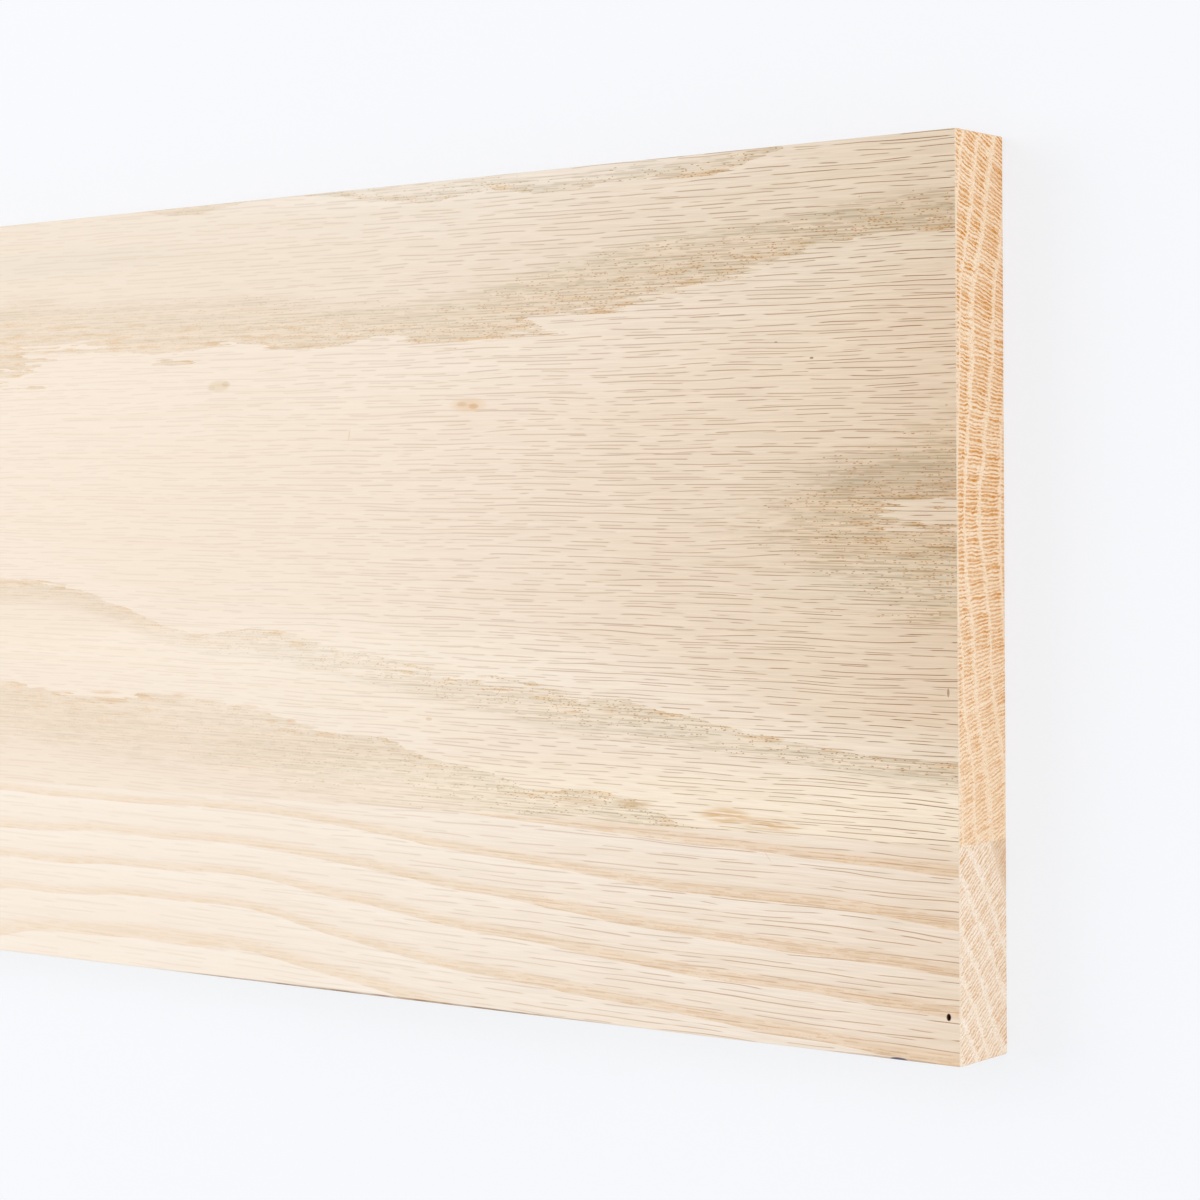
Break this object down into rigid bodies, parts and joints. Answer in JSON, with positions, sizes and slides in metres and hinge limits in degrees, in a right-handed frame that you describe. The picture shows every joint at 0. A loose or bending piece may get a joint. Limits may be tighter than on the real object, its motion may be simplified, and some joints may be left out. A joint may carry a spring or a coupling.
{
  "type": "stair riser",
  "caption": "Flat solid oak stair riser board, a wide and a narrow stave glued edge to edge, planed square to close the upright gap between two treads.",
  "frame": {"origin": "middle of the back face, which lies on the floor", "axes": "+X along the length towards the end with the pinhole, +Y up the riser's height as it is fitted, +Z out of the shown face"},
  "size_m": [0.9144, 0.1906, 0.0191],
  "materials": {
    "flat_sawn_oak": "bare planed oak",
    "rift_sawn_oak": "bare planed oak"
  },
  "bodies": {
    "root": {"wide_stave": "flat_sawn_oak", "narrow_stave": "rift_sawn_oak"}
  },
  "joints": []
}
